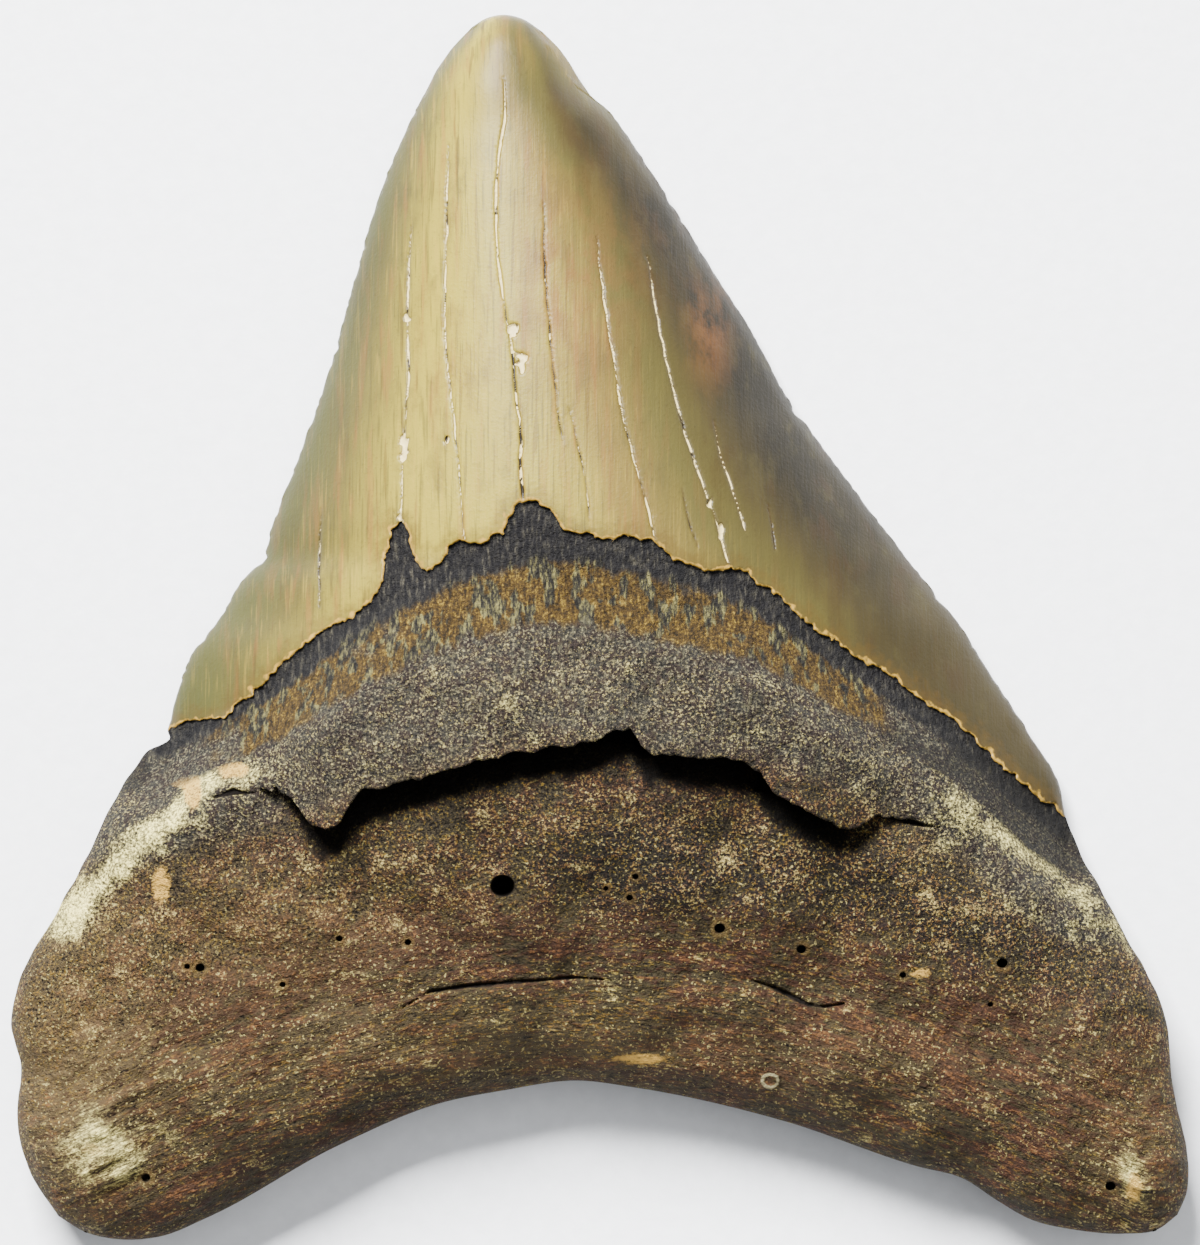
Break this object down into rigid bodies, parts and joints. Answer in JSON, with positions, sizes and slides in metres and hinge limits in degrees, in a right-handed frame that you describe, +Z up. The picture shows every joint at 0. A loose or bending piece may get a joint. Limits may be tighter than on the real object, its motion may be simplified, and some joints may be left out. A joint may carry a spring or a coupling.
{
  "type": "megalodon tooth",
  "caption": "Worn fossil shark tooth: a triangular enamel crown with worn cutting edges, a dark collar with a broken ledge and a two-lobed arched root, lying on its flat side",
  "frame": {"origin": "centre of the footprint, on the surface that the tooth lies on", "axes": "+Y from the root to the crown's tip, +X to the right seen from above, +Z up, away from the flat lip-side face the tooth lies on"},
  "size_m": [0.0999, 0.1042, 0.0208],
  "materials": {
    "fossil": "worn, semi-gloss enamel over a matt speckled root"
  },
  "bodies": {
    "root": {"tooth": "fossil"}
  },
  "joints": []
}
